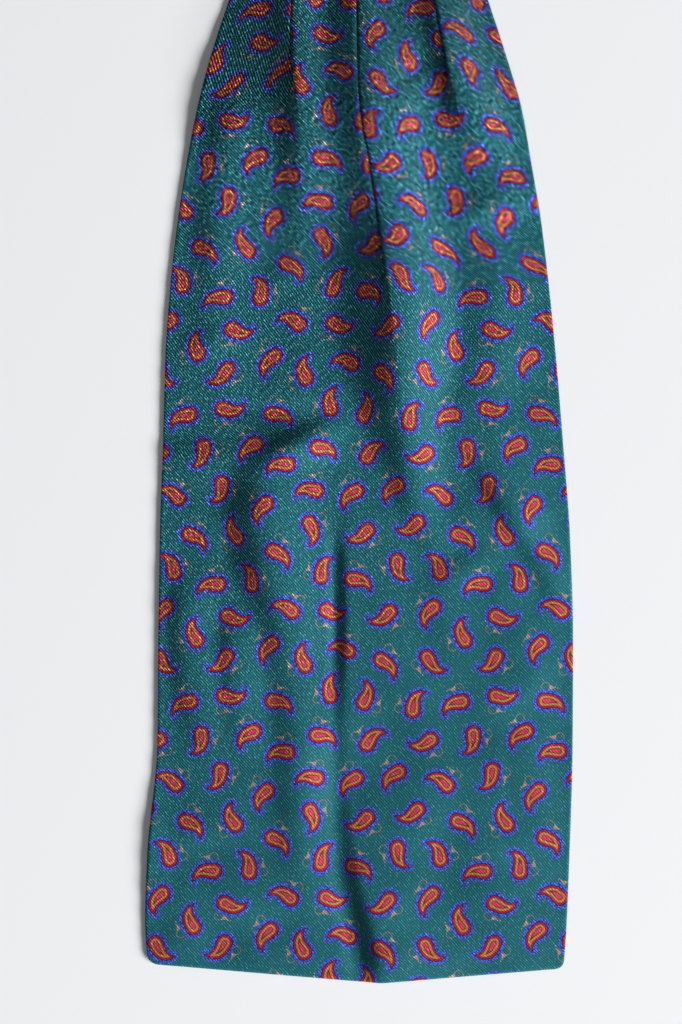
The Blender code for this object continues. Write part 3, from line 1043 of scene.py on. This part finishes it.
class Formula:
    """A number in a node tree that takes ordinary arithmetic."""

    def __init__(self, tree, socket):
        self.tree = tree
        self.socket = socket

    def node(self, operation, *others):
        made = self.tree.nodes.new("ShaderNodeMath")
        made.operation = operation
        for slot_number, value in enumerate((self, *others)):
            if isinstance(value, Formula):
                self.tree.links.new(value.socket, made.inputs[slot_number])
            else:
                made.inputs[slot_number].default_value = value
        return Formula(self.tree, made.outputs[0])

    def __add__(self, other):
        return self.node("ADD", other)

    def __sub__(self, other):
        return self.node("SUBTRACT", other)

    def __mul__(self, other):
        return self.node("MULTIPLY", other)

    def __neg__(self):
        return self.node("MULTIPLY", -1.0)

    def minimum(self, other):
        return self.node("MINIMUM", other)

    def maximum(self, other):
        return self.node("MAXIMUM", other)

    def absolute(self):
        return self.node("ABSOLUTE")

    def length_with(self, other):
        return (self * self + other * other).node("SQRT")

    def below(self, threshold):
        return self.node("LESS_THAN", threshold)

    def choose(self, when_one, when_zero):
        """One value where this is 1 and another where it is 0."""
        return (when_one - when_zero) * self + when_zero

    def inside(self, blur):
        """1 where this distance is below zero, 0 above, blurred over a little."""
        made = self.tree.nodes.new("ShaderNodeMapRange")
        made.interpolation_type = "SMOOTHSTEP"
        self.tree.links.new(self.socket, made.inputs["Value"])
        set_inputs(made, {"From Min": -blur, "From Max": blur, "To Min": 1.0, "To Max": 0.0})
        return Formula(self.tree, made.outputs[0])


def capsule(along, across, head, length, tail):
    """Distance to a straight drop: a head circle, a smaller tail circle, and their tangents."""
    slope = (head - tail) / length
    level = math.sqrt(1.0 - slope ** 2)
    side = across.absolute()
    place = along * level - side * slope
    at_head = along.length_with(side) - head
    at_tail = (along - length).length_with(side) - tail
    at_side = side * level + along * slope - head
    beyond = (-place + level * length).below(0.0)
    return place.below(0.0).choose(at_head, beyond.choose(at_tail, at_side))


def drop(along, across, radius, length):
    """Distance to a drop: round at its head, its sides curving in to a point at the tail."""
    share = along * (1.0 / length)
    side = across.absolute() + (share * share - 1.0) * radius
    return along.below(0.0).choose(along.length_with(across) - radius, side)


def at_disc(p, q, disc):
    """Distance to a disc."""
    return (p - disc.p).length_with(q - disc.q) - disc.radius


def beyond_side(p, q, side):
    """Distance beyond a line through a point, counted in the way it faces."""
    turn = math.radians(side.facing)
    return (p - side.p) * math.cos(turn) + (q - side.q) * math.sin(turn)


def split(tree, vector):
    """A vector's first two parts."""
    parts = tree.nodes.new("ShaderNodeSeparateXYZ")
    tree.links.new(vector, parts.inputs[0])
    return Formula(tree, parts.outputs["X"]), Formula(tree, parts.outputs["Y"])


def paint(tree, below, colour, mask):
    """A colour laid over another where the mask is 1."""
    mix = tree.nodes.new("ShaderNodeMix")
    mix.data_type = "RGBA"
    tree.links.new(mask.socket, mix.inputs["Factor"])
    tree.links.new(below, mix.inputs["A"])
    mix.inputs["B"].default_value = colour
    return mix.outputs["Result"]


BLUE_LIGHT = srgb(72, 102, 188)
BLUE_DEEP = srgb(34, 52, 124)
NAVY = srgb(30, 14, 74)
CRIMSON = srgb(138, 29, 60)
GOLD = srgb(170, 113, 67)
BROWN = srgb(96, 26, 14)
PINK = srgb(184, 58, 82)
DUSKY = srgb(132, 112, 100)
DUSKY_LIGHT = srgb(170, 138, 126)
GROUND = srgb(30, 95, 104)
THREAD = srgb(20, 84, 92)
PRINT_BLUR = 0.10
BEADS = {"Scale": 1.15, "Randomness": 0.7}
BEAD_ROOM = 0.62
BEAD_BITE = 0.6
BEAD_SHIFT = -0.22

# The drops inside a motif's body, the hook at its tail, and the ring, leaf and dots beside its head.
Drop = namedtuple("Drop", "start radius length")
INNER_DROPS = (
    Drop(0.1, 1.95, 8),
    Drop(0.2, 1.08, 5.8),
    Drop(0.2, 0.76, 4),
)
HOOK_LEAN = 50.0
HOOK_OVERLAP = 0.3
HOOK_HEAD = 1.5
HOOK_LENGTH = 2.9
HOOK_TAIL = 0.75
RING = Disc(0.4, -5.3, 1.65)
RING_HALF_WIDTH = 0.2
Side = namedtuple("Side", "p q facing")
LEAF_SIDES = (
    Side(1.9, -5.1, 180),
    Side(2.6, -4.35, 66),
    Side(2.6, -5.85, -66),
)
DOTS = (
    Disc(4.15, -5.25, 0.3),
    Disc(5.15, -4.95, 0.26),
)

# One layer of the print: its colour, the distance to its outline, how far that is blurred, and the
# share of what lies below that it covers.
Layer = namedtuple("Layer", "colour distance blur cover")


def paisley_group():
    """A node group that paints one motif over a colour, given a place in the motif's own frame."""
    tree = bpy.data.node_groups.new("paisley", "ShaderNodeTree")
    tree.interface.new_socket("Place", in_out="INPUT", socket_type="NodeSocketVector")
    tree.interface.new_socket("Below", in_out="INPUT", socket_type="NodeSocketColor")
    tree.interface.new_socket("Color", in_out="OUTPUT", socket_type="NodeSocketColor")
    inlet = tree.nodes.new("NodeGroupInput")
    outlet = tree.nodes.new("NodeGroupOutput")
    p, q = split(tree, inlet.outputs["Place"])

    forward = p - SPINE_STRAIGHT
    sideways = -q + SPINE_BEND
    bent_along = forward.node("ARCTAN2", sideways) * SPINE_BEND + SPINE_STRAIGHT
    bent_across = -forward.length_with(sideways) + SPINE_BEND
    straight = p.below(SPINE_STRAIGHT)
    along = straight.choose(p, bent_along)
    across = straight.choose(q, bent_across)

    body = drop(along, across, BODY_RADIUS, BODY_LENGTH)
    gold, rim, core = [drop(along - row.start, across, row.radius, row.length) for row in INNER_DROPS]
    hook_along, hook_across = turned(along - BODY_LENGTH + HOOK_OVERLAP, across, HOOK_LEAN)
    hook = capsule(hook_along, hook_across, HOOK_HEAD, HOOK_LENGTH, HOOK_TAIL)

    beads = tree.nodes.new("ShaderNodeTexVoronoi")
    beads.voronoi_dimensions = "2D"
    set_inputs(beads, BEADS)
    tree.links.new(inlet.outputs["Place"], beads.inputs["Vector"])
    spot = Formula(tree, beads.outputs["Distance"])
    halo = (body - HALO_WIDTH).minimum(hook) + spot * BEAD_BITE + BEAD_SHIFT

    ring = at_disc(p, q, RING).absolute() - RING_HALF_WIDTH
    sides = [beyond_side(p, q, side) for side in LEAF_SIDES]
    leaf = sides[0].maximum(sides[1]).maximum(sides[2])
    first_dot, last_dot = [at_disc(p, q, dot) for dot in DOTS]

    layers = (
        Layer(DUSKY, ring, PRINT_BLUR, 0.6),
        Layer(DUSKY_LIGHT, leaf.minimum(first_dot.minimum(last_dot)), PRINT_BLUR, 0.7),
        Layer(BLUE_DEEP, halo, 0.3, 1.0),
        Layer(BLUE_LIGHT, halo.maximum(spot - BEAD_ROOM) + 0.2, 0.28, 1.0),
        Layer(NAVY, body - 0.28, 0.16, 1.0),
        Layer(CRIMSON, body + 0.06, PRINT_BLUR, 1.0),
        Layer(BROWN, gold - 0.12, PRINT_BLUR, 0.5),
        Layer(GOLD, gold + 0.04, PRINT_BLUR, 1.0),
        Layer(BROWN, rim, PRINT_BLUR, 0.9),
        Layer(PINK, core, PRINT_BLUR, 1.0),
    )
    colour = inlet.outputs["Below"]
    for layer in layers:
        mask = layer.distance.inside(layer.blur) * layer.cover
        colour = paint(tree, colour, layer.colour, mask)
    tree.links.new(colour, outlet.inputs["Color"])
    return tree


# Ribs of twill, with floats strewn along them whose glints are painted highlights in the colour.
# The photo's ribs measure about 0.76 apart; they are coarser here, because a render at the
# photo's size loses finer ones.
# The CRISP and OPENING values are no property of silk, and neither is the painted shade that darkens
# the print up the blade towards the neck end. They were fitted by region to the photo's contrast
# and brightness, and partly make up for what the render's denoiser smooths away.
TWILL_PITCH = 0.84
TWILL_ANGLE = 48.0
TWILL_WANDER = 1.4
FLOAT_LENGTH = 1.7
FLOAT_SCALE = 1.15
GRAIN_SCALE = 2.2
RIB_LEAST = 0.65
RIB_BY_FLOAT = 2.0
FLOAT_SHARE = 0.9
GRAIN_SHARE = 1.1
GLINT_THRESHOLD = 0.06
GLINT_STRENGTH = 2.6
TONE_MIDDLE = 0.9
TONE_SPREAD = 0.2
DARKEST_SHADE = 0.12
CRISP_AT_TIP = -0.02
CRISP_UP_BLADE = 0.006
CRISP_ACROSS = 0.0065
CRISP_LEAST = 0.45
CRISP_MOST = 1.6
OPENING_FROM = 277.0
OPENING_TO = 350.0
OPENING_FULL = 20.0
CRISP_IN_OPENING = 0.065
PAINTED_SHADE_FROM = 287.0
PAINTED_SHADE_UP_BLADE = 0.004
GLINT_MEAN = 0.09
GLINT_PALE = 0.07
SILK = {"IOR": 1.3, "Specular IOR Level": 0.2, "Sheen Weight": 0.05, "Sheen Roughness": 0.4}
ROUGHNESS = 0.54
ROUGHNESS_BY_WEAVE = -0.03
BUMP = {"Strength": 0.8, "Distance": 0.11 * MM}


def uv_place(tree, name):
    """A place on one of the cloth's maps."""
    made = tree.nodes.new("ShaderNodeUVMap")
    made.uv_map = name
    return made.outputs["UV"]


def noise(tree, place, scale, detail=2.0):
    """Soft noise around 0.5 on a map in millimetres."""
    made = tree.nodes.new("ShaderNodeTexNoise")
    made.noise_dimensions = "2D"
    set_inputs(made, {"Scale": scale, "Detail": detail})
    tree.links.new(place, made.inputs["Vector"])
    return Formula(tree, made.outputs[0])


def on_colour(tree, operation, colour, value, socket):
    """A colour scaled by a number, or with the number added to each of its parts."""
    made = tree.nodes.new("ShaderNodeVectorMath")
    made.operation = operation
    tree.links.new(colour, made.inputs[0])
    tree.links.new(value.socket, made.inputs[socket])
    return made.outputs[0]


def printed_silk(name, paisley):
    """Twill-woven silk printed with tossed paisleys on a teal ground."""
    material = bpy.data.materials.new(name)
    material.use_nodes = True
    tree = material.node_tree
    shader = tree.nodes["Principled BSDF"]
    cloth = uv_place(tree, "cloth")
    across, along = split(tree, cloth)

    wander = (noise(tree, cloth, 0.06) - 0.5) * TWILL_WANDER
    over_ribs, along_ribs = turned(along, across, TWILL_ANGLE)
    twill = (over_ribs * (2.0 * math.pi / TWILL_PITCH) + wander).node("SINE")
    strewn = tree.nodes.new("ShaderNodeCombineXYZ")
    tree.links.new((over_ribs * (1.0 / TWILL_PITCH)).socket, strewn.inputs["X"])
    tree.links.new((along_ribs * (1.0 / FLOAT_LENGTH)).socket, strewn.inputs["Y"])
    floats = noise(tree, strewn.outputs[0], FLOAT_SCALE, 1.0) - 0.5
    grain = noise(tree, cloth, GRAIN_SCALE) - 0.5
    ribs = twill * (floats * RIB_BY_FLOAT + RIB_LEAST)
    glint = (floats - GLINT_THRESHOLD).maximum(0.0) * (twill + 1.0) * GLINT_STRENGTH
    # How crisp the weave and its painted glints read, by place: partly painted light, standing in for
    # where the ribs catch the light.
    crisp = along * CRISP_UP_BLADE - across * CRISP_ACROSS + CRISP_AT_TIP
    crisp = crisp.maximum(CRISP_LEAST).minimum(CRISP_MOST)
    opening = (along - OPENING_FROM).minimum(-along + OPENING_TO)
    opening = opening.minimum(OPENING_FULL).maximum(0.0) * CRISP_IN_OPENING
    weave = (ribs + glint + floats * FLOAT_SHARE + grain * GRAIN_SHARE) * (crisp + opening)

    tone = (noise(tree, cloth, 0.03) - 0.5) * TONE_SPREAD + TONE_MIDDLE
    # Painted shade: the print is darkened up the blade towards the neck end, and a little more where
    # the pleats open, against the brighter glints there.
    painted_shade = (along - PAINTED_SHADE_FROM).maximum(0.0) * PAINTED_SHADE_UP_BLADE + opening * GLINT_MEAN
    shade = weave + tone - painted_shade
    ground = tree.nodes.new("ShaderNodeRGB")
    ground.outputs[0].default_value = GROUND
    colour = ground.outputs[0]
    for map_name in ("motif_next", "motif_near"):
        motif = tree.nodes.new("ShaderNodeGroup")
        motif.node_tree = paisley
        tree.links.new(uv_place(tree, map_name), motif.inputs["Place"])
        tree.links.new(colour, motif.inputs["Below"])
        colour = motif.outputs["Color"]
    colour = on_colour(tree, "SCALE", colour, shade.maximum(DARKEST_SHADE), "Scale")
    # The glints also lay a pale painted highlight over the colour.
    colour = on_colour(tree, "ADD", colour, glint * crisp * GLINT_PALE, 1)
    tree.links.new(colour, shader.inputs["Base Color"])

    rough = weave * ROUGHNESS_BY_WEAVE + ROUGHNESS
    tree.links.new(rough.socket, shader.inputs["Roughness"])
    set_inputs(shader, SILK)
    bump = tree.nodes.new("ShaderNodeBump")
    set_inputs(bump, BUMP)
    tree.links.new(weave.socket, bump.inputs["Height"])
    tree.links.new(bump.outputs[0], shader.inputs["Normal"])
    return material


def plain_material(name, values):
    """A material of one colour, given its shader's values by socket name."""
    material = bpy.data.materials.new(name)
    material.use_nodes = True
    set_inputs(material.node_tree.nodes["Principled BSDF"], values)
    return material


def thread():
    """The sewing thread, in the colour of the ground."""
    return plain_material("thread", {"Base Color": THREAD, "Roughness": 0.5, "Sheen Weight": 0.1})


# ------------------------ stage, light and camera

CAMERA_LENS = 85.0
SENSOR_HEIGHT = 36.0
VIEW_HEIGHT = 390.1
VIEW_MIDDLE = (-6.5, -430.9)
SURFACE_HALF = 3.0
SURFACE_DROP = -0.0002
SURFACE_COLOUR = srgb(227, 228, 230)
SKY = {"Color": (0.93, 0.96, 1.0, 1.0), "Strength": 0.125}


def add_stage():
    """A plain pale surface, a hair below the cloth."""
    half = SURFACE_HALF
    corners = [(-half, -half, 0.0), (half, -half, 0.0), (half, half, 0.0), (-half, half, 0.0)]
    pale = plain_material("surface", {"Base Color": SURFACE_COLOUR, "Roughness": 1.0,
                                      "Specular IOR Level": 0.0})
    surface = add_thing("surface", corners, [(0, 1, 2, 3)], pale)
    surface.location = (0.0, 0.0, SURFACE_DROP)


Light = namedtuple("Light", "name place target size power")
LIGHTS = (
    Light("window", (4.9, -3.2, 2.5), (0.0, -0.42, 0.0), (4.2, 2.4), 930.0),
    Light("lamp", (-0.9, -0.1, 1.9), (-0.1, -0.4, 0.0), (1.2, 1.2), 4.0),
)


def add_lights():
    """A large window low on the right, a weak lamp on the left and a dim sky."""
    for light in LIGHTS:
        data = bpy.data.lights.new(light.name, "AREA")
        data.shape = "RECTANGLE"
        data.size, data.size_y = light.size
        data.energy = light.power
        lamp = bpy.data.objects.new(light.name, data)
        lamp.location = light.place
        look_at(lamp, light.target)
        bpy.context.scene.collection.objects.link(lamp)
    world = bpy.data.worlds.new("room")
    world.use_nodes = True
    set_inputs(world.node_tree.nodes["Background"], SKY)
    bpy.context.scene.world = world


def look_at(thing, target):
    """Turn a lamp or camera to face a point."""
    way = Vector(target) - thing.location
    thing.rotation_euler = way.to_track_quat("-Z", "Y").to_euler()


def add_camera():
    """Straight above the shown blade, its tip at the foot of the picture."""
    data = bpy.data.cameras.new("camera")
    data.sensor_fit = "VERTICAL"
    data.sensor_height = SENSOR_HEIGHT
    data.lens = CAMERA_LENS
    camera = bpy.data.objects.new("camera", data)
    distance = VIEW_HEIGHT * CAMERA_LENS / SENSOR_HEIGHT
    camera.location = (VIEW_MIDDLE[0] * MM, VIEW_MIDDLE[1] * MM, distance * MM)
    bpy.context.scene.collection.objects.link(camera)
    bpy.context.scene.camera = camera


def main():
    add_stage()
    add_lights()
    add_camera()
    bpy.context.scene.view_settings.view_transform = "Standard"
    motifs = tossed_motifs()
    paisley = paisley_group()
    shown = Blade(PLEATS_SHOWN, RIDGES_SHOWN, SWELLS_SHOWN, 0.0)
    far = Blade(PLEATS_FAR, RIDGES_FAR, SWELLS_FAR, 2.4)
    for suffix, blade, half_round in (("shown", shown, False), ("far", far, True)):
        front = add_cloth(f"front_{suffix}", placed(front_sheet(blade)), motifs,
                          printed_silk(f"front_{suffix}", paisley), half_round)
        back = add_cloth(f"back_{suffix}", placed(back_sheet(blade)), motifs,
                         printed_silk(f"back_{suffix}", paisley), half_round)
        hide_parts(f"blade_front_{suffix}")
        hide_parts(f"blade_back_{suffix}")
        for piece in (front, back):
            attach(piece, "root")
    band = add_cloth("neckband_strip", band_sheet(), motifs, printed_silk("neckband", paisley))
    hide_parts("neckband")
    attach(band, "root")
    stitches = add_stitches("mouth_stitches", thread())
    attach(stitches, "root")


main()
